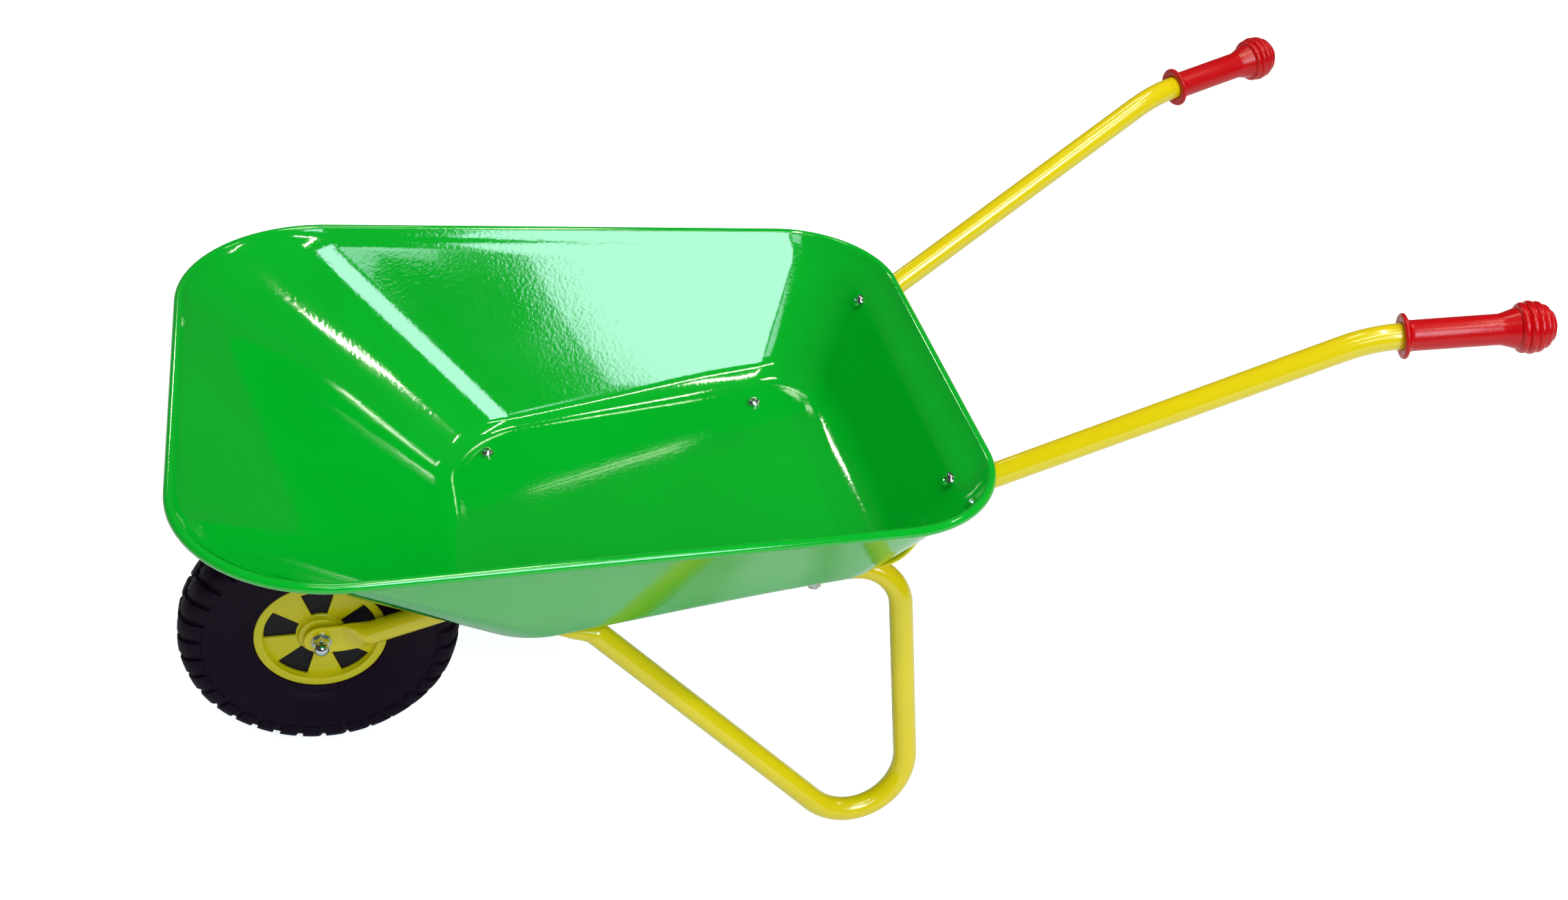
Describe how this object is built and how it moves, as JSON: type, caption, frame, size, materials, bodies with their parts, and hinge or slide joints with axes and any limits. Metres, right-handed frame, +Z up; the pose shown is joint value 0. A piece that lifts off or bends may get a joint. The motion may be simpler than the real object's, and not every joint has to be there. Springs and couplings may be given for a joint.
{
  "type": "wheelbarrow",
  "caption": "Child's steel wheelbarrow: pressed green tray on bent yellow tubes with a free-running wheel, loop legs and red ribbed grips.",
  "frame": {"origin": "on the ground under the middle of the whole barrow's box", "axes": "+X back towards the handles, +Y to the barrow's right side, +Z up"},
  "size_m": [0.769, 0.3872, 0.3917],
  "materials": {
    "tray_paint": "gloss green enamel",
    "tube_paint": "gloss yellow enamel",
    "grip_plastic": "gloss red moulded plastic",
    "tyre_rubber": "matt black",
    "core_plastic": "matt black",
    "cap_plastic": "yellow moulded plastic",
    "bush_plastic": "natural nylon",
    "bright_chrome": "polished",
    "zinc_steel": "zinc plated"
  },
  "bodies": {
    "frame": {"tray": "tray_paint", "left_frame_tube": "tube_paint", "right_frame_tube": "tube_paint", "left_handle": "tube_paint", "right_handle": "tube_paint", "left_grip": "grip_plastic", "right_grip": "grip_plastic", "axle": "zinc_steel", "left_inner_washer": "zinc_steel", "right_inner_washer": "zinc_steel", "left_outer_washer": "zinc_steel", "right_outer_washer": "zinc_steel", "left_axle_nut": "bright_chrome", "right_axle_nut": "bright_chrome", "front_floor_bolts": "bright_chrome", "rear_floor_bolts": "bright_chrome", "wall_bolts": "bright_chrome", "front_floor_washers": "zinc_steel", "rear_floor_washers": "zinc_steel", "wall_washers": "zinc_steel", "front_floor_nuts": "zinc_steel", "rear_floor_nuts": "zinc_steel", "wall_nuts": "zinc_steel"},
    "wheel": {"tyre": "tyre_rubber", "wheel_core": "core_plastic", "left_hub_cap": "cap_plastic", "right_hub_cap": "cap_plastic", "hub_bushes": "bush_plastic"}
  },
  "joints": [
    {"name": "wheel_spin", "type": "hinge", "parent": "frame", "child": "wheel", "pos_m": [-0.2973, 0, 0.0872], "axis": [0, 1, 0], "continuous": true}
  ]
}
